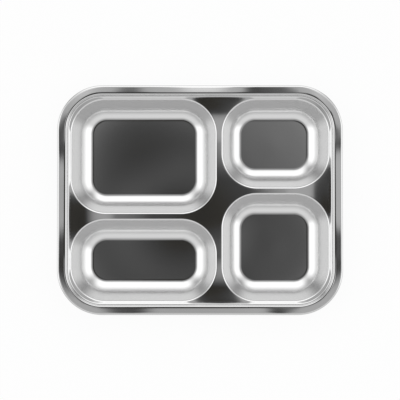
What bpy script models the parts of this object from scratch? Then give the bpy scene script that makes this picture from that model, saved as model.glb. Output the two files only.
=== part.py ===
"""Four-well cafeteria tray: one stainless sheet, pressed, with its edge rolled round a stiffening wire.

Metres, +Z up. The origin lies on the table under the middle of the tray. +X runs along the long side,
and +Y points to the side with the large and the small well.
"""

import math

import bmesh
import bpy

MM = 0.001

# Sheet
SHEET_THICKNESS = 0.6 * MM

# Wells: two columns of two, measured over the lips. The square well takes up the rest of its column.
LEFT_COLUMN_LENGTH = 147.5 * MM
RIGHT_COLUMN_LENGTH = 109 * MM
LARGE_WELL_WIDTH = 116.5 * MM
SLIM_WELL_WIDTH = 84 * MM
SMALL_WELL_WIDTH = 91 * MM
WELL_DEPTH = 24 * MM
WELL_DRAFT = math.radians(26)
WELL_CORNER_RADIUS = 36 * MM
WELL_LIP_RADIUS = 2 * MM
WELL_FLOOR_RADIUS = 14 * MM
SHARPEST_FLOOR_CORNER = 2 * MM

# Deck: the flat land between the wells, along the step and across its corners
DIVIDER = 4.5 * MM
EDGE_LAND = 0.5 * MM
CORNER_LAND = 2 * MM

# Step: the short wall between the deck and the rim
STEP_DEPTH = 6.5 * MM
STEP_DRAFT = math.radians(13)
STEP_FOOT_RADIUS = 1.6 * MM
STEP_TOP_RADIUS = 1.6 * MM

# Rim: a flange that falls a little outwards from its crest, and a roll closed round the wire
RIM_WIDTH = 8 * MM
FLANGE_FALL = math.radians(4)
WIRE_DIAMETER = 2.4 * MM
WIRE_CLEARANCE = 0.3 * MM
ROLL_WRAP = math.radians(300)

# Facets
CORNER_STEPS = 8
LIP_STEPS = 3
FLOOR_STEPS = 5
STEP_STEPS = 3
ROLL_STEPS = 10
WIRE_BEVEL_RESOLUTION = 2

# Finish
STEEL_COLOUR = (0.62, 0.62, 0.61, 1.0)
SHEET_ROUGHNESS = 0.22
WIRE_ROUGHNESS = 0.35


class Outline:
    """A rounded rectangle in plan."""

    def __init__(self, x_span, y_span, corner_radius):
        self.middle = ((x_span[0] + x_span[1]) / 2, (y_span[0] + y_span[1]) / 2)
        self.half = ((x_span[1] - x_span[0]) / 2, (y_span[1] - y_span[0]) / 2)
        self.corner_radius = min(corner_radius, *self.half)

    def ring(self, inset, height):
        """Points anticlockwise round the outline, drawn in by inset, at that height."""
        radius = max(self.corner_radius - inset, SHARPEST_FLOOR_CORNER)
        reach = [half - inset - radius for half in self.half]
        points = []
        for quarter, (x_side, y_side) in enumerate(((1, 1), (-1, 1), (-1, -1), (1, -1))):
            x = self.middle[0] + x_side * reach[0]
            y = self.middle[1] + y_side * reach[1]
            for step in range(CORNER_STEPS + 1):
                angle = (quarter + step / CORNER_STEPS) * math.pi / 2
                points.append((x + radius * math.cos(angle), y + radius * math.sin(angle), height))
        return points


class Profile:
    """The section of a bent strip, as points of inset from an outline and height."""

    def __init__(self, inset, height, heading):
        self.points = [(inset, height)]
        self.heading = heading

    def straight(self, length):
        inset, height = self.points[-1]
        self.points.append((inset + length * math.cos(self.heading), height + length * math.sin(self.heading)))

    def bend(self, radius, turn, steps):
        """An arc that turns the heading, anticlockwise where turn is positive. Returns its centre."""
        inset, height = self.points[-1]
        side = math.copysign(radius, turn)
        centre = (inset - side * math.sin(self.heading), height + side * math.cos(self.heading))
        for step in range(1, steps + 1):
            angle = self.heading + turn * step / steps
            self.points.append((centre[0] + side * math.sin(angle), centre[1] - side * math.cos(angle)))
        self.heading += turn
        return centre


# Levels and slopes
DECK_HEIGHT = SHEET_THICKNESS + WELL_DEPTH
WELL_SLOPE = math.pi / 2 - WELL_DRAFT
STEP_SLOPE = math.pi / 2 - STEP_DRAFT
ROLL_RADIUS = WIRE_DIAMETER / 2 + WIRE_CLEARANCE + SHEET_THICKNESS

# Straight parts of the walls, which the bends at their two ends leave over
WELL_BENDS = (WELL_LIP_RADIUS + WELL_FLOOR_RADIUS) * (1 - math.cos(WELL_SLOPE))
WELL_WALL = (WELL_DEPTH - WELL_BENDS) / math.sin(WELL_SLOPE)
STEP_BENDS = (STEP_FOOT_RADIUS + STEP_TOP_RADIUS) * (1 - math.cos(STEP_SLOPE))
STEP_WALL = (STEP_DEPTH - STEP_BENDS) / math.sin(STEP_SLOPE)

# Plan sizes from the wells outwards
STEP_RUN = (STEP_FOOT_RADIUS + STEP_TOP_RADIUS) * math.sin(STEP_SLOPE) + STEP_WALL * math.cos(STEP_SLOPE)
DECK_INSET = RIM_WIDTH + STEP_RUN
WELLS_LENGTH = LEFT_COLUMN_LENGTH + DIVIDER + RIGHT_COLUMN_LENGTH
WELLS_WIDTH = LARGE_WELL_WIDTH + DIVIDER + SLIM_WELL_WIDTH
TRAY_LENGTH = WELLS_LENGTH + 2 * (EDGE_LAND + DECK_INSET)
TRAY_WIDTH = WELLS_WIDTH + 2 * (EDGE_LAND + DECK_INSET)
CORNER_GROWTH = (CORNER_LAND - EDGE_LAND * math.sqrt(2)) / (math.sqrt(2) - 1)
TRAY_CORNER_RADIUS = WELL_CORNER_RADIUS - CORNER_GROWTH + DECK_INSET


def tray_outline():
    """The outer edge of the roll."""
    x_span = (-TRAY_LENGTH / 2, TRAY_LENGTH / 2)
    y_span = (-TRAY_WIDTH / 2, TRAY_WIDTH / 2)
    return Outline(x_span, y_span, TRAY_CORNER_RADIUS)


def well_outlines():
    """The lips of the large, slim, small and square wells, where they leave the deck."""
    left = (-WELLS_LENGTH / 2, LEFT_COLUMN_LENGTH - WELLS_LENGTH / 2)
    right = (left[1] + DIVIDER, WELLS_LENGTH / 2)
    top = WELLS_WIDTH / 2
    outlines = []
    for column, upper_width in ((left, LARGE_WELL_WIDTH), (right, SMALL_WELL_WIDTH)):
        split = top - upper_width
        outlines.append(Outline(column, (split, top), WELL_CORNER_RADIUS))
        outlines.append(Outline(column, (-top, split - DIVIDER), WELL_CORNER_RADIUS))
    return outlines


def well_profile():
    """From the deck over the lip, down the drafted wall and round into the floor."""
    profile = Profile(0, DECK_HEIGHT, 0)
    profile.bend(WELL_LIP_RADIUS, -WELL_SLOPE, LIP_STEPS)
    profile.straight(WELL_WALL)
    profile.bend(WELL_FLOOR_RADIUS, WELL_SLOPE, FLOOR_STEPS)
    return profile.points


def rim_profile():
    """From the deck up the step, out along the flange and round the roll, with the roll's centre."""
    profile = Profile(DECK_INSET, DECK_HEIGHT, math.pi)
    profile.bend(STEP_FOOT_RADIUS, -STEP_SLOPE, STEP_STEPS)
    profile.straight(STEP_WALL)
    profile.bend(STEP_TOP_RADIUS, STEP_SLOPE + FLANGE_FALL, STEP_STEPS)
    roll_start = ROLL_RADIUS * (1 - math.sin(FLANGE_FALL))
    profile.straight((profile.points[-1][0] - roll_start) / math.cos(FLANGE_FALL))
    roll_centre = profile.bend(ROLL_RADIUS, ROLL_WRAP - FLANGE_FALL, ROLL_STEPS)
    return profile.points, roll_centre


def loft(mesh, outline, profile):
    """Walls that follow a profile round an outline. Returns the first and the last ring."""
    rings = [[mesh.verts.new(point) for point in outline.ring(*station)] for station in profile]
    for near, far in zip(rings, rings[1:]):
        for i in range(len(near)):
            mesh.faces.new((near[i - 1], near[i], far[i], far[i - 1]))
    return rings[0], rings[-1]


def ring_edges(mesh, ring):
    return [mesh.edges.get((ring[i - 1], ring[i])) for i in range(len(ring))]


def steel(name, roughness):
    material = bpy.data.materials.new(name)
    material.use_nodes = True
    shader = material.node_tree.nodes["Principled BSDF"]
    shader.inputs["Base Color"].default_value = STEEL_COLOUR
    shader.inputs["Metallic"].default_value = 1.0
    shader.inputs["Roughness"].default_value = roughness
    return material


def add_object(name, data, material):
    data.materials.append(material)
    node = bpy.data.objects.new(name, data)
    bpy.context.scene.collection.objects.link(node)
    return node


def add_pressed_tray():
    """The sheet: its food side is lofted and filled, and its thickness lies below that."""
    sheet = bmesh.new()
    deck_edge, _ = loft(sheet, tray_outline(), rim_profile()[0])
    deck_boundary = ring_edges(sheet, deck_edge)
    for outline in well_outlines():
        lip, floor_edge = loft(sheet, outline, well_profile())
        floor = sheet.faces.new(floor_edge)
        deck_boundary += ring_edges(sheet, lip)
    bmesh.ops.triangle_fill(sheet, edges=deck_boundary, use_beauty=True)
    bmesh.ops.recalc_face_normals(sheet, faces=sheet.faces)
    if floor.normal.z < 0:
        bmesh.ops.reverse_faces(sheet, faces=sheet.faces)
    data = bpy.data.meshes.new("pressed_tray")
    sheet.to_mesh(data)
    sheet.free()
    data.shade_smooth()
    tray = add_object("pressed_tray", data, steel("stainless_sheet", SHEET_ROUGHNESS))
    thickness = tray.modifiers.new("sheet thickness", "SOLIDIFY")
    thickness.thickness = SHEET_THICKNESS
    thickness.offset = -1
    thickness.use_even_offset = True
    thickness.use_quality_normals = True


def add_rim_wire():
    """The wire inside the roll, bent to the tray's outline and joined into a ring."""
    points = tray_outline().ring(*rim_profile()[1])
    data = bpy.data.curves.new("rim_wire", "CURVE")
    data.dimensions = "3D"
    data.bevel_depth = WIRE_DIAMETER / 2
    data.bevel_resolution = WIRE_BEVEL_RESOLUTION
    spline = data.splines.new("POLY")
    spline.points.add(len(points) - 1)
    for target, point in zip(spline.points, points):
        target.co = (*point, 1)
    spline.use_cyclic_u = True
    add_object("rim_wire", data, steel("stainless_wire", WIRE_ROUGHNESS))


for leftover in list(bpy.data.objects):
    bpy.data.objects.remove(leftover)
add_pressed_tray()
add_rim_wire()
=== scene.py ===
import math

import bmesh
import bpy
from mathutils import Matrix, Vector


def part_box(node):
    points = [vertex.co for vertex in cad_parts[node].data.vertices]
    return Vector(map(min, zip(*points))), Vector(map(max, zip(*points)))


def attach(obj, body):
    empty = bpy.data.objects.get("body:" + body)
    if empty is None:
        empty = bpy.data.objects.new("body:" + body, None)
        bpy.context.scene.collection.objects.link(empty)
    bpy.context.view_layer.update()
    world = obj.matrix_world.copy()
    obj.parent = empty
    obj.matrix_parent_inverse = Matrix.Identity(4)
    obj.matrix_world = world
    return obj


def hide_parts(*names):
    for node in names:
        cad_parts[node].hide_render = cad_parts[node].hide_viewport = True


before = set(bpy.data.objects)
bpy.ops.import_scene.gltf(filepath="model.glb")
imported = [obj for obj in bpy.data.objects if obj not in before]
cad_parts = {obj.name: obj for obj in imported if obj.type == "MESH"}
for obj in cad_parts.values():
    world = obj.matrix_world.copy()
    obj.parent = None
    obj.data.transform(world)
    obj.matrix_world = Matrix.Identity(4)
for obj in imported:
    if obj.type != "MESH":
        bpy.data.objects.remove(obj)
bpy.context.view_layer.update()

# The wells: four pockets drawn by punches into one sheet of 18/8 stainless steel, 0.6 mm thick.
# Each has a tight lip, a drafted wall, and a knee and a wide fillet that ease into the floor it
# stands on. They lie in two columns, with narrow lands left between their lips.
mm = 0.001
sheet_thickness = 0.6 * mm
well_depth = 24 * mm
deck_height = sheet_thickness + well_depth
well_slope = math.radians(64.8)
well_corner_radius = 35.9 * mm
lip_radius = 2 * mm
knee_radius = 7 * mm
knee_slope = math.radians(45)
floor_radius = 15.2 * mm
floor_ease_radius = 28 * mm
floor_ease = math.radians(3)
wells_half_x = 130.4 * mm
wells_half_y = 102.4 * mm
divider = 4.7 * mm
right_divider = 4.3 * mm
left_column = 147.3 * mm
large_well_width = 116.3 * mm
small_well_width = 90.8 * mm
left_span = (-wells_half_x, left_column - wells_half_x)
right_span = (left_span[1] + divider, wells_half_x)
large_well_edge = wells_half_y - large_well_width
small_well_edge = wells_half_y - small_well_width
# Each well's spans, and how many millimetres its floor is pressed out past an even draft on its +X,
# +Y, -X and -Y side.
wells = {
    "large_well": (left_span, (large_well_edge, wells_half_y), (0.05, 0.75, -0.4, 1.5)),
    "slim_well": (left_span, (-wells_half_y, large_well_edge - divider), (0, 0.2, -0.4, -0.3)),
    "small_well": (right_span, (small_well_edge, wells_half_y), (-0.3, 0.6, 1.7, 1.0)),
    "square_well": (right_span, (-wells_half_y, small_well_edge - right_divider), (0, 0.4, 1.75, -0.15)),
}


def linear(hex_colour):
    """An sRGB hex colour as linear numbers with alpha."""
    parts = [int(hex_colour[i:i + 2], 16) / 255 for i in (0, 2, 4)]
    return [p / 12.92 if p <= 0.04045 else ((p + 0.055) / 1.055) ** 2.4 for p in parts] + [1.0]


def add_node(tree, kind, settings=(), inputs=()):
    """One shader node. Settings are its properties, and inputs are values or outputs to link from."""
    node = tree.nodes.new("ShaderNode" + kind)
    for name, value in dict(settings).items():
        setattr(node, name, value)
    for name, value in dict(inputs).items():
        if isinstance(value, bpy.types.NodeSocket):
            tree.links.new(value, node.inputs[name])
        else:
            node.inputs[name].default_value = value
    return node


bare_steel = linear("E0E0E0")


def steel(name, roughness, colour=bare_steel):
    """Stainless steel. Returns the material, its tree, its shader and its Object coordinates."""
    material = bpy.data.materials.new(name)
    material.use_nodes = True
    tree = material.node_tree
    shader = tree.nodes["Principled BSDF"]
    shader.inputs["Base Color"].default_value = colour
    shader.inputs["Metallic"].default_value = 1.0
    shader.inputs["Roughness"].default_value = roughness
    return material, tree, shader, add_node(tree, "TexCoord").outputs["Object"]


def dents(tree, place, spots):
    """The height, in millimetres, of soft round dents given as x, y, z, radius and depth in millimetres."""
    height = 0.0
    for x, y, z, radius, depth in spots:
        gap = add_node(tree, "VectorMath", {"operation": "DISTANCE"}, {0: place, 1: Vector((x, y, z)) * mm})
        dent = add_node(tree, "MapRange", {"interpolation_type": "SMOOTHERSTEP"},
                        {"Value": gap.outputs["Value"], "From Max": radius * mm,
                         "To Min": -depth, "To Max": 0})
        height = add_node(tree, "Math", {"operation": "ADD"}, {0: height, 1: dent.outputs[0]}).outputs[0]
    return height


# Satin blasted steel: fine beads leave the wells a soft grey that smears reflections. The steel is
# stretched most on the walls, which are coarser than the floors, and the lips are rubbed bright.
wall_roughness = 0.23
floor_roughness = 0.06
lip_roughness = 0.06
coarser_from, coarser_to = 1 * mm, 3.5 * mm
rubbed_from, rubbed_to = deck_height - 2.5 * mm, deck_height - 0.5 * mm
satin_blasted, tree, shader, place = steel("satin_blasted_stainless", wall_roughness)
height = add_node(tree, "SeparateXYZ", {}, {"Vector": place}).outputs["Z"]
stretched = add_node(tree, "MapRange", {},
                     {"Value": height, "From Min": coarser_from, "From Max": coarser_to,
                      "To Min": floor_roughness, "To Max": wall_roughness})
rubbed = add_node(tree, "MapRange", {},
                  {"Value": height, "From Min": rubbed_from, "From Max": rubbed_to,
                   "To Min": 0, "To Max": 1})
finish = add_node(tree, "Mix", {"data_type": "FLOAT"},
                  {"Factor": rubbed.outputs[0], "A": stretched.outputs[0], "B": lip_roughness})
tree.links.new(finish.outputs[0], shader.inputs["Roughness"])
# The floors' steel is set a shade darker than the walls', which dims the reflections in them.
floor_steel = linear("D0D0D0")
lighter_from, lighter_to = 0.65 * mm, 1.1 * mm
lighter = add_node(tree, "MapRange", {},
                   {"Value": height, "From Min": lighter_from, "From Max": lighter_to})
tone = add_node(tree, "MixRGB", {}, {0: lighter.outputs[0], 1: floor_steel, 2: bare_steel})
tree.links.new(tone.outputs[0], shader.inputs["Base Color"])
# The beads' pits are about 0.1 mm wide. They are drawn at 0.9 mm, as fine as the picture can show,
# and are shallower on the walls. Their depths are in millimetres.
pit_width = 0.9 * mm
floor_pits = 0.003
wall_pits = 0.0005
shallower_from, shallower_to = 1 * mm, 2 * mm
grain = add_node(tree, "TexNoise", {}, {"Vector": place, "Scale": 1 / pit_width, "Detail": 1.0})
# The press leaves the floors not quite flat. The left wells swell, where a depth is negative, and the
# right ones are dished.
dish = dents(tree, place, [(-22, -24, 0.6, 88, -0.5), (-100, 120, 0.6, 125, -0.6),
                           (74, 57, 0.6, 70, 0.2), (74, -47, 0.6, 70, 0.24)])
pit_depth = add_node(tree, "MapRange", {},
                     {"Value": height, "From Min": shallower_from, "From Max": shallower_to,
                      "To Min": floor_pits, "To Max": wall_pits})
relief = add_node(tree, "Math", {"operation": "MULTIPLY_ADD"},
                  {0: grain.outputs[0], 1: pit_depth.outputs[0], 2: dish})
pits = add_node(tree, "Bump", {}, {"Height": relief.outputs[0], "Distance": 1 * mm, "Strength": 1.0})
tree.links.new(pits.outputs[0], shader.inputs["Normal"])


def start_section(name, point):
    """The first point of a section: a small plane merged into its middle."""
    bpy.ops.object.select_all(action="DESELECT")
    bpy.ops.mesh.primitive_plane_add(size=10 * mm, location=point)
    piece = bpy.context.object
    piece.name = piece.data.name = name
    bpy.ops.object.transform_apply(location=True)
    bpy.ops.object.mode_set(mode="EDIT")
    bpy.ops.mesh.select_mode(type="VERT")
    bpy.ops.mesh.merge(type="CENTER")
    return piece


def section_end():
    """The selected point that the section has reached."""
    mesh = bmesh.from_edit_mesh(bpy.context.object.data)
    return next(vert.co.copy() for vert in mesh.verts if vert.select)


def straight(heading, length, steps):
    """Lengthens the section. Heading 0 points along +X and a quarter turn points up."""
    stride = Vector((math.cos(heading), 0, math.sin(heading))) * length / steps
    for _ in range(steps):
        bpy.ops.mesh.extrude_region_move(TRANSFORM_OT_translate={"value": stride})


def bend(heading, radius, turn, steps):
    """Bends the section on by an arc, to the left where turn is positive, and returns its new heading."""
    side = math.copysign(radius, turn)
    centre = section_end() + Vector((-math.sin(heading), 0, math.cos(heading))) * side
    bpy.ops.mesh.spin(steps=steps, angle=turn, center=centre, axis=(0, 1, 0))
    return heading + turn


corner_signs = ((1, 1), (-1, 1), (-1, -1), (1, -1))
corner_steps = 32
merge_gap = 0.01 * mm


def carry_round(middle, half, corner_radius, side_step):
    """Carries a section, which stands on the +X side, round a rounded rectangle and closes it."""
    bpy.ops.mesh.select_all(action="SELECT")
    reach = Vector((half[0] - corner_radius, half[1] - corner_radius, 0))
    corners = [Vector((x_sign * reach.x, y_sign * reach.y, 0)) for x_sign, y_sign in corner_signs]
    runs = [(0, reach.y), (-2 * reach.x, 0), (0, -2 * reach.y), (2 * reach.x, 0), (0, reach.y)]
    for index, run in enumerate(runs):
        leg = Vector((*run, 0))
        steps = math.ceil(leg.length / side_step)
        for _ in range(steps):
            bpy.ops.mesh.extrude_region_move(TRANSFORM_OT_translate={"value": leg / steps})
        if index < len(corners):
            centre = corners[index] + Vector(middle)
            bpy.ops.mesh.spin(steps=corner_steps, angle=-math.pi / 2, center=centre, axis=(0, 0, 1))
    bpy.ops.mesh.select_all(action="SELECT")
    bpy.ops.mesh.remove_doubles(threshold=merge_gap)


def select(piece, kind, wanted):
    """Selects the points, edges or faces of a piece that pass a test, and nothing else."""
    bpy.ops.mesh.select_all(action="DESELECT")
    bpy.ops.mesh.select_mode(type=kind)
    mesh = bmesh.from_edit_mesh(piece.data)
    for item in {"VERT": mesh.verts, "EDGE": mesh.edges, "FACE": mesh.faces}[kind]:
        item.select = wanted(item)
    mesh.select_flush_mode()
    bmesh.update_edit_mesh(piece.data)


floor_top = 1.5 * mm
press_reach = 12 * mm


def press_floor(piece, middle, half, side, press):
    """Moves one side of a floor outwards with its two corners, which tightens the fillet there."""
    reach = abs(side.x) * half[0] + abs(side.y) * half[1] - well_corner_radius
    select(piece, "VERT",
           lambda vert: vert.co.z < floor_top and (vert.co - Vector(middle)).dot(side) > reach)
    bpy.ops.transform.translate(value=side * press, use_proportional_edit=True,
                                proportional_edit_falloff="SMOOTH", proportional_size=press_reach)


bends_depth = (lip_radius * (1 - math.cos(well_slope))
               + knee_radius * (math.cos(knee_slope) - math.cos(well_slope))
               + floor_radius * (math.cos(floor_ease) - math.cos(knee_slope))
               + floor_ease_radius * (1 - math.cos(floor_ease)))
well_wall = (well_depth - bends_depth) / math.sin(well_slope)
sheet_parts = []
for name, (x_span, y_span, presses) in wells.items():
    middle = (sum(x_span) / 2, sum(y_span) / 2, 0)
    half = ((x_span[1] - x_span[0]) / 2, (y_span[1] - y_span[0]) / 2)
    well = start_section(name, (x_span[1], middle[1], deck_height))
    heading = bend(math.pi, lip_radius, well_slope, steps=8)
    straight(heading, well_wall, steps=4)
    heading = bend(heading, knee_radius, knee_slope - well_slope, steps=8)
    heading = bend(heading, floor_radius, floor_ease - knee_slope, steps=18)
    bend(heading, floor_ease_radius, -floor_ease, steps=4)
    carry_round(middle, half, well_corner_radius, side_step=10 * mm)
    select(well, "EDGE", lambda edge: edge.is_boundary and edge.verts[0].co.z < deck_height / 2)
    bpy.ops.mesh.edge_face_add()
    for side, press in zip(((1, 0, 0), (0, 1, 0), (-1, 0, 0), (0, -1, 0)), presses):
        press_floor(well, middle, half, Vector(side), press * mm)
    bpy.ops.object.mode_set(mode="OBJECT")
    well.data.materials.append(satin_blasted)
    sheet_parts.append(well)

# The step: a short steep wall round the deck, pressed from the same sheet in the same stroke. Its foot
# stands a little proud of the deck, most of all at the corners, where drawn steel gathers, and its top
# turns over into the crest of the rim.
tray_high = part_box("pressed_tray")[1]
step_depth = 6.5 * mm
step_slope = math.radians(80)
step_foot_radius = 1.3 * mm
step_top_radius = 1.3 * mm
crest_radius = 18 * mm
crest_turn = math.radians(4)
foot_rise = 0.2 * mm
corner_rise = 0.05 * mm
rise_reach = 6 * mm
edge_land = 1 * mm
tray_half = (tray_high.x, tray_high.y)
tray_corner_radius = 44.92 * mm
deck_half = (wells_half_x + edge_land, wells_half_y + edge_land)
deck_corner_radius = tray_corner_radius - tray_half[0] + deck_half[0]


def distance_in(tree, place, corner_radius):
    """How far in from the tray's outline each place lies, where its corners had that radius."""
    reach = Vector((tray_half[0] - corner_radius, tray_half[1] - corner_radius, 0))
    plan = add_node(tree, "VectorMath", {"operation": "MULTIPLY"}, {0: place, 1: (1, 1, 0)})
    size = add_node(tree, "VectorMath", {"operation": "ABSOLUTE"}, {0: plan.outputs[0]})
    past = add_node(tree, "VectorMath", {"operation": "SUBTRACT"}, {0: size.outputs[0], 1: reach})
    corner = add_node(tree, "VectorMath", {"operation": "MAXIMUM"}, {0: past.outputs[0], 1: (0, 0, 0)})
    length = add_node(tree, "VectorMath", {"operation": "LENGTH"}, {0: corner.outputs[0]})
    inset = add_node(tree, "Math", {"operation": "SUBTRACT"},
                     {0: corner_radius, 1: length.outputs["Value"]})
    return inset.outputs[0]


# Buffed steel: the deck and the step are polished to a mirror, dark where they face the open top.
# The lands between the wells bow down a little towards the step and turn up again at its foot.
mirror_buffed, tree, shader, place = steel("mirror_buffed_stainless", 0.05, linear("D8D8D8"))
bow_corner_radius = 100 * mm
inset = distance_in(tree, place, bow_corner_radius)
# Each bend of the lands in millimetres: where it starts and ends, in from the outline, and its rise.
bow = 0.0
for start, end, rise in ((95, 25, -0.75), (58, 27, -0.35), (30, 8, 0.18)):
    slope = add_node(tree, "MapRange", {"interpolation_type": "SMOOTHSTEP"},
                     {"Value": inset, "From Min": start * mm, "From Max": end * mm,
                      "To Min": 0, "To Max": rise})
    bow = add_node(tree, "Math", {"operation": "ADD"}, {0: bow, 1: slope.outputs[0]}).outputs[0]
# The land between the left wells and the near end of the middle one sag as well.
sag = dents(tree, place, [(-86, -16, 24.6, 110, 0.85), (19, -68, 24.6, 70, 0.27)])
lie = add_node(tree, "Math", {"operation": "ADD"}, {0: bow, 1: sag})
warp = add_node(tree, "Bump", {}, {"Height": lie.outputs[0], "Distance": 1 * mm, "Strength": 1.0})
tree.links.new(warp.outputs[0], shader.inputs["Normal"])

step_bends = (step_foot_radius * (1 - math.cos(step_slope))
              + step_top_radius * (math.cos(crest_turn) - math.cos(step_slope))
              + crest_radius * (1 - math.cos(crest_turn)))
step_wall = (step_depth - foot_rise - step_bends) / math.sin(step_slope)
centre = (0, 0, 0)
rim_step = 3.5 * mm
step = start_section("step", (deck_half[0], 0, deck_height + foot_rise))
heading = bend(0, step_foot_radius, step_slope, steps=8)
straight(heading, step_wall, steps=3)
heading = bend(heading, step_top_radius, crest_turn - step_slope, steps=8)
bend(heading, crest_radius, -crest_turn, steps=4)
crest = section_end()
carry_round(centre, deck_half, deck_corner_radius, side_step=rim_step)
foot_top = deck_height + foot_rise + merge_gap
corner_start = Vector((deck_half[0] - deck_corner_radius, deck_half[1] - deck_corner_radius))
corner_margin = 8 * mm
for x_sign, y_sign in corner_signs:
    select(step, "VERT", lambda vert: vert.co.z < foot_top
           and vert.co.x * x_sign > corner_start.x + corner_margin
           and vert.co.y * y_sign > corner_start.y + corner_margin)
    bpy.ops.transform.translate(value=(0, 0, corner_rise), use_proportional_edit=True,
                                proportional_edit_falloff="SMOOTH", proportional_size=rise_reach)
bpy.ops.object.mode_set(mode="OBJECT")
step.data.materials.append(mirror_buffed)
sheet_parts.append(step)

# The rim: a flange that falls outwards from a crest, with its edge rolled down round a wire.
# The corners gather steel as they are drawn, which lifts the flange near the ends of each side.
flange_fall = math.radians(2)
roll_radius = 1.8 * mm
roll_wrap = math.radians(300)


def edge_lines(tree, shader, place, width, depth):
    """Fine lines of that width and depth on a shader, which follow the tray's edge."""
    inset = distance_in(tree, place, tray_corner_radius)
    across = add_node(tree, "Math", {"operation": "DIVIDE"}, {0: inset, 1: width})
    lines = add_node(tree, "TexNoise", {"noise_dimensions": "1D"},
                     {"W": across.outputs[0], "Scale": 1.0, "Detail": 2.0})
    scratch = add_node(tree, "Bump", {}, {"Height": lines.outputs[0], "Distance": depth, "Strength": 1.0})
    tree.links.new(scratch.outputs[0], shader.inputs["Normal"])


# Edge-polished steel: a belt run along the rim leaves fine lines that follow the edge.
# The lines are a few hundredths of a millimetre wide. They are drawn at 0.7 mm, so that they show.
rim_polished, tree, shader, place = steel("rim_polished_stainless", 0.06)
edge_lines(tree, shader, place, width=0.7 * mm, depth=0.006 * mm)

hinge_slack = 0.1 * mm
least_share = 0.01


def lift_rim(piece, x, y, length, lift, reach):
    """Turns a length of the rim up about its crest, near a place in plan, fading out over the reach."""
    inner = Vector((tray_half[0] - tray_corner_radius, tray_half[1] - tray_corner_radius, 0))
    nearest = Vector((max(-inner.x, min(inner.x, x * mm)), max(-inner.y, min(inner.y, y * mm)), crest.z))
    outward = (Vector((x * mm, y * mm, crest.z)) - nearest).normalized()
    along = Vector((-outward.y, outward.x, 0))
    hinge = nearest + outward * (crest.x - inner.x)
    select(piece, "VERT", lambda vert: (vert.co - hinge).dot(outward) > -hinge_slack
           and abs((vert.co - hinge).dot(along)) < length * mm / 2)
    for axis, share in (("X", along.x), ("Y", along.y)):
        if abs(share) > least_share:
            bpy.ops.transform.rotate(value=math.radians(lift) * share, orient_axis=axis,
                                     orient_type="GLOBAL", center_override=hinge,
                                     use_proportional_edit=True, proportional_edit_falloff="SMOOTH",
                                     proportional_size=reach * mm)


# Places on the rim in plan and the length lifted there, in millimetres, then the degrees, and the reach
# in millimetres. Falls are negative.
lifts = [
    (-71.5, 115, 6, 2.6, 32), (3, 115, 20, -1.8, 40), (72, 115, 30, 3.7, 34), (143, 60, 6, 3.7, 26),
    (143, 86, 6, 1.5, 24), (143, 5, 30, 0.5, 30), (143, -52, 28, 3.2, 28), (143, -82, 6, 1.0, 26),
    (84, -115, 6, 3.2, 28), (0, -115, 60, 0.4, 40), (-75, -115, 12, 2.4, 34), (-143, -52, 16, 3.0, 30),
    (-143, -82, 6, 1.6, 28), (-143, 3, 30, 1.0, 30), (-143, 60, 10, 3.6, 32), (-141, 84, 6, 1.6, 26),
    (-125, 112, 12, -1.0, 26), (135, 107, 16, -1.0, 30), (135, -107, 16, 0.7, 26), (-135, -107, 16, 0.7, 26),
]
rim = start_section("rim", crest)
heading = bend(0, crest_radius, -flange_fall, steps=3)
roll_start = tray_half[0] - roll_radius * (1 - math.sin(flange_fall))
straight(heading, (roll_start - section_end().x) / math.cos(flange_fall), steps=4)
bend(heading, roll_radius, flange_fall - roll_wrap, steps=24)
carry_round(centre, tray_half, tray_corner_radius, side_step=rim_step)
for lift in lifts:
    lift_rim(rim, *lift)
bpy.ops.object.mode_set(mode="OBJECT")
rim.data.materials.append(rim_polished)
sheet_parts.append(rim)

# The deck and the finished sheet: the land left over between the wells and the step, with the whole
# sheet's thickness below it. The face is finished, and the back is left as it came from the mill.

# Mill-rolled steel: the rolls leave a dull grey skin with faint lines along the sheet.
mill_roughness = 0.31
mill_spread = 0.05
mill_rolled, tree, shader, place = steel("mill_rolled_stainless", mill_roughness)
# The lines are about 0.05 mm wide. They are drawn 0.8 mm wide and 40 mm long, so that they show.
line_size = Vector((40, 0.8, 40)) * mm
line_depth = 0.002 * mm
noise_low, noise_high = 0.3, 0.7
rolled = add_node(tree, "VectorMath", {"operation": "DIVIDE"}, {0: place, 1: line_size})
lines = add_node(tree, "TexNoise", {}, {"Vector": rolled.outputs[0], "Scale": 1.0, "Detail": 2.0})
dull = add_node(tree, "MapRange", {},
                {"Value": lines.outputs[0], "From Min": noise_low, "From Max": noise_high,
                 "To Min": mill_roughness - mill_spread, "To Max": mill_roughness + mill_spread})
tree.links.new(dull.outputs[0], shader.inputs["Roughness"])
ridges = add_node(tree, "Bump", {}, {"Height": lines.outputs[0], "Distance": line_depth, "Strength": 1.0})
tree.links.new(ridges.outputs[0], shader.inputs["Normal"])

bpy.ops.object.select_all(action="DESELECT")
for part in sheet_parts:
    part.select_set(True)
bpy.context.view_layer.objects.active = step
bpy.ops.object.join()
sheet = step
sheet.name = sheet.data.name = "tray_sheet"
bpy.ops.object.mode_set(mode="EDIT")
bpy.ops.mesh.select_all(action="SELECT")
bpy.ops.mesh.remove_doubles(threshold=merge_gap)
# The lifts move the rim's inner edge a little off the step's outer one, and the two are joined again.
seam_band = 1 * mm
seam_gap = 0.8 * mm
select(sheet, "EDGE", lambda edge: edge.is_boundary and abs(edge.verts[0].co.z - crest.z) < seam_band)
bpy.ops.mesh.remove_doubles(threshold=seam_gap)
level_slack = 0.001 * mm
deck_low = deck_height - level_slack
deck_high = deck_height + foot_rise + corner_rise + level_slack


def on_deck(item):
    """Whether an edge or a face lies on the land between the lips and the foot of the step."""
    return all(deck_low < vert.co.z < deck_high for vert in item.verts)


def inside_deck(item):
    """Whether every face at a point or an edge lies on the deck."""
    return all(on_deck(face) for face in item.link_faces)


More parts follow.
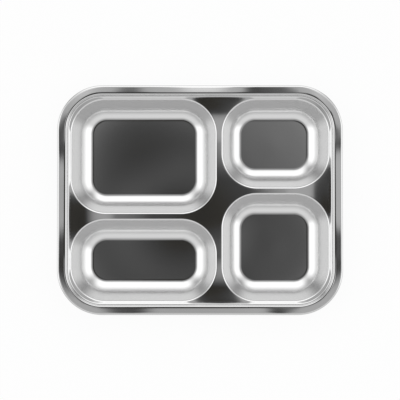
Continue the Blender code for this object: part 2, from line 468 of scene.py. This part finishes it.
select(sheet, "EDGE", lambda edge: edge.is_boundary and on_deck(edge))
bpy.ops.mesh.fill()
sheet.active_material_index = sheet.data.materials.find(mirror_buffed.name)
bpy.ops.object.material_slot_assign()
# The fill's long triangles are cut down to short ones, which smoothing then stretches like a skin.
for longest in (20, 10, 5, 2.5):
    select(sheet, "EDGE", lambda edge: edge.calc_length() > longest * mm
           and len(edge.link_faces) == 2 and inside_deck(edge))
    bpy.ops.mesh.subdivide()
    select(sheet, "FACE", on_deck)
    bpy.ops.mesh.quads_convert_to_tris()
    bpy.ops.mesh.beautify_fill()
select(sheet, "VERT", inside_deck)
bpy.ops.mesh.vertices_smooth(factor=0.5, repeat=300)
# All points but the deck's own go into a group, so that only the bends get weighted normals.
select(sheet, "VERT", lambda vert: not inside_deck(vert))
bpy.ops.object.vertex_group_assign_new()
bends = sheet.vertex_groups[-1]
bpy.ops.mesh.select_all(action="SELECT")
bpy.ops.mesh.normals_make_consistent(inside=False)
mesh = bmesh.from_edit_mesh(sheet.data)
floor = min(mesh.faces, key=lambda face: face.calc_center_median().z)
if floor.normal.z < 0:
    bpy.ops.mesh.flip_normals()
bpy.ops.object.mode_set(mode="OBJECT")
sheet.data.materials.append(mill_rolled)
thickness = sheet.modifiers.new("thickness", "SOLIDIFY")
thickness.thickness = sheet_thickness
thickness.offset = -1
thickness.use_even_offset = True
thickness.material_offset = len(sheet.data.materials)
bpy.ops.object.modifier_apply(modifier=thickness.name)
bpy.ops.object.shade_smooth()
weights = sheet.modifiers.new("weights", "WEIGHTED_NORMAL")
weights.weight = 90
weights.vertex_group = bends.name
bpy.ops.object.modifier_apply(modifier=weights.name)
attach(sheet, "root")
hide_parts("pressed_tray")

# The rim wire: drawn stainless wire, 2.4 mm thick, bent to the tray's outline. The roll of the rim
# closes round it and holds it, and it stiffens the edge.

# Drawn steel: the die leaves a dull skin with fine lines along the wire.
# The lines are about 0.02 mm wide. They are drawn at 0.3 mm, so that they show.
drawn_wire, tree, shader, place = steel("drawn_stainless", 0.35)
edge_lines(tree, shader, place, width=0.3 * mm, depth=0.006 * mm)

wire_low, wire_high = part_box("rim_wire")
wire_radius = (wire_high.z - wire_low.z) / 2
wire_level = (wire_low.z + wire_high.z) / 2
wire = start_section("edge_wire", (tray_half[0] - roll_radius + wire_radius, 0, wire_level))
bend(math.pi / 2, wire_radius, 2 * math.pi, steps=16)
bpy.ops.mesh.select_all(action="SELECT")
bpy.ops.mesh.remove_doubles(threshold=merge_gap)
carry_round(centre, tray_half, tray_corner_radius, side_step=5 * mm)
bpy.ops.mesh.normals_make_consistent(inside=False)
for lift in lifts:
    lift_rim(wire, *lift)
bpy.ops.object.mode_set(mode="OBJECT")
bpy.ops.object.shade_smooth()
wire.data.materials.append(drawn_wire)
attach(wire, "root")
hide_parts("rim_wire")

# The floor: a sheet of white paper that the tray stands on, wide enough to fill the picture. It shows
# almost white to the camera and in the steel, and keeps the tray's soft shadow. From below it is clear,
# so that the tray's back can be looked at.
paper_size = 4
paper_gap = 0.05 * mm
paper_glow = 0.93
bpy.ops.object.select_all(action="DESELECT")
bpy.ops.mesh.primitive_plane_add(size=paper_size, location=(0, 0, -paper_gap))
ground = bpy.context.object
ground.name = "studio_floor"
paper = bpy.data.materials.new("white_paper")
paper.use_nodes = True
tree = paper.node_tree
tree.nodes.clear()
seen = add_node(tree, "LightPath")
mirrored = add_node(tree, "Math", {"operation": "MAXIMUM"},
                    {0: seen.outputs["Is Glossy Ray"], 1: seen.outputs["Is Transmission Ray"]})
shown = add_node(tree, "Math", {"operation": "MAXIMUM"},
                 {0: seen.outputs["Is Camera Ray"], 1: mirrored.outputs[0]})
fade = add_node(tree, "Math", {"operation": "MULTIPLY"}, {0: shown.outputs[0], 1: paper_glow})
lit = add_node(tree, "BsdfDiffuse", {}, {"Color": linear("EDEDED")})
white = add_node(tree, "Emission", {}, {"Strength": 1.0})
mixed = add_node(tree, "MixShader", {}, {0: fade.outputs[0], 1: lit.outputs[0], 2: white.outputs[0]})
clear = add_node(tree, "BsdfTransparent")
facing = add_node(tree, "NewGeometry")
sided = add_node(tree, "MixShader", {},
                 {0: facing.outputs["Backfacing"], 1: mixed.outputs[0], 2: clear.outputs[0]})
add_node(tree, "OutputMaterial", {}, {"Surface": sided.outputs[0]})
ground.data.materials.append(paper)

# The light: a white cloth tent all round, bright at its sides and duller in its corner folds and on the
# near side, where the photographer stands. It is open overhead, where the camera looks down, and flat
# steel shows the dark opening.
far_brightness = 1.32
near_brightness = 0.87
fold_sharpness = 6.0
world = bpy.data.worlds.new("white_tent")
bpy.context.scene.world = world
world.use_nodes = True
tree = world.node_tree
tree.nodes.clear()
direction = add_node(tree, "TexCoord").outputs["Generated"]


def angle_from(tree, direction, pole):
    """The angle, in radians, between a direction and a pole."""
    cosine = add_node(tree, "VectorMath", {"operation": "DOT_PRODUCT"}, {0: direction, 1: pole.normalized()})
    return add_node(tree, "Math", {"operation": "ARCCOSINE"}, {0: cosine.outputs["Value"]}).outputs[0]


def levels_over(tree, angle, stops):
    """A level that follows an angle, from stops of degrees and a level or a hex colour."""
    span = stops[-1][0]
    share = add_node(tree, "Math", {"operation": "DIVIDE"}, {0: angle, 1: math.radians(span)})
    ramp = add_node(tree, "ValToRGB", {}, {"Fac": share.outputs[0]})
    ramp.color_ramp.elements.remove(ramp.color_ramp.elements[1])
    for index, (degrees, level) in enumerate(stops):
        element = ramp.color_ramp.elements.new(degrees / span) if index else ramp.color_ramp.elements[0]
        element.color = linear(level) if isinstance(level, str) else (level, level, level, 1)
    return ramp.outputs["Color"]


# The opening lies a little off the middle. It is almost black at its heart and pales towards its edge.
opening_middle = Vector((-0.0087, 0.007, 1))
opening = levels_over(tree, angle_from(tree, direction, opening_middle), [
    (0, "343330"), (1.5, "3A3834"), (2, 0.056), (2.7, 0.075), (3.1, 0.097), (3.6, 0.15),
    (4.1, 0.21), (4.6, 0.29), (5.5, 0.42), (6.2, 0.48), (9.5, 0.52)])
zenith = angle_from(tree, direction, Vector((0, 0, 1)))
far_sides = levels_over(tree, zenith, [
    (0, 1.08), (36, 1.08), (47, 1.12), (53, 1.04), (59, 0.93), (64, 0.87), (72, 0.74), (82, 0.6), (90, 0.46)])
near_side = levels_over(tree, zenith, [
    (0, 1.0), (40, 1.0), (46, 0.96), (51, 0.89), (57, 0.85), (63, 0.79), (70, 0.66), (80, 0.62), (90, 0.55)])
# A fold hangs in each of the four corners, where a bearing points as far along X as along Y.
flat = add_node(tree, "VectorMath", {"operation": "MULTIPLY"}, {0: direction, 1: (1, 1, 0)})
level_direction = add_node(tree, "VectorMath", {"operation": "NORMALIZE"}, {0: flat.outputs[0]})
bearing = add_node(tree, "SeparateXYZ", {}, {"Vector": level_direction.outputs[0]})
both = add_node(tree, "Math", {"operation": "MULTIPLY"}, {0: bearing.outputs["X"], 1: bearing.outputs["Y"]})
doubled = add_node(tree, "Math", {"operation": "MULTIPLY"}, {0: both.outputs[0], 1: 2.0})
corner = add_node(tree, "Math", {"operation": "POWER"}, {0: doubled.outputs[0], 1: fold_sharpness})
folds = levels_over(tree, zenith, [(0, 0.45), (32, 0.49), (44, 0.68), (52, 0.78), (90, 0.75)])
shade = add_node(tree, "Math", {"operation": "MULTIPLY"}, {0: corner.outputs[0], 1: folds})
folded = add_node(tree, "Math", {"operation": "SUBTRACT"}, {0: far_brightness, 1: shade.outputs[0]})
# The near side takes over between two bearings, given as how far they point to +Y.
near_from, near_to = -0.2, -0.6
near = add_node(tree, "MapRange", {"interpolation_type": "SMOOTHSTEP"},
                {"Value": bearing.outputs["Y"], "From Min": near_from, "From Max": near_to,
                 "To Min": 0.0, "To Max": 1.0})
distant = add_node(tree, "Math", {"operation": "MULTIPLY"}, {0: far_sides, 1: folded.outputs[0]})
close = add_node(tree, "Math", {"operation": "MULTIPLY"}, {0: near_side, 1: near_brightness})
tent = add_node(tree, "Mix", {"data_type": "FLOAT"},
                {"Factor": near.outputs[0], "A": distant.outputs[0], "B": close.outputs[0]})
cloth_from, cloth_to = math.radians(10.5), math.radians(16)
edge = add_node(tree, "MapRange", {"interpolation_type": "SMOOTHSTEP"},
                {"Value": zenith, "From Min": cloth_from, "From Max": cloth_to})
open_tent = add_node(tree, "MixRGB", {}, {0: edge.outputs[0], 1: opening, 2: tent.outputs[0]})
light = add_node(tree, "Background", {}, {"Color": open_tent.outputs[0]})
add_node(tree, "OutputWorld", {}, {"Surface": light.outputs[0]})

# The camera: a long lens almost straight above the tray, a little to its near side, so that the far
# walls of the wells show slightly more than the near ones.
camera_height = 1.735
camera_back = 0.039
data = bpy.data.cameras.new("camera")
data.lens = 156.2
data.sensor_width = 36
camera = bpy.data.objects.new("camera", data)
bpy.context.scene.collection.objects.link(camera)
target = Vector((0, 0, tray_high.z))
camera.location = (0, -camera_back, tray_high.z + camera_height)
camera.rotation_euler = (target - camera.location).to_track_quat("-Z", "Y").to_euler()
bpy.context.scene.camera = camera

bpy.context.scene.view_settings.view_transform = "Standard"
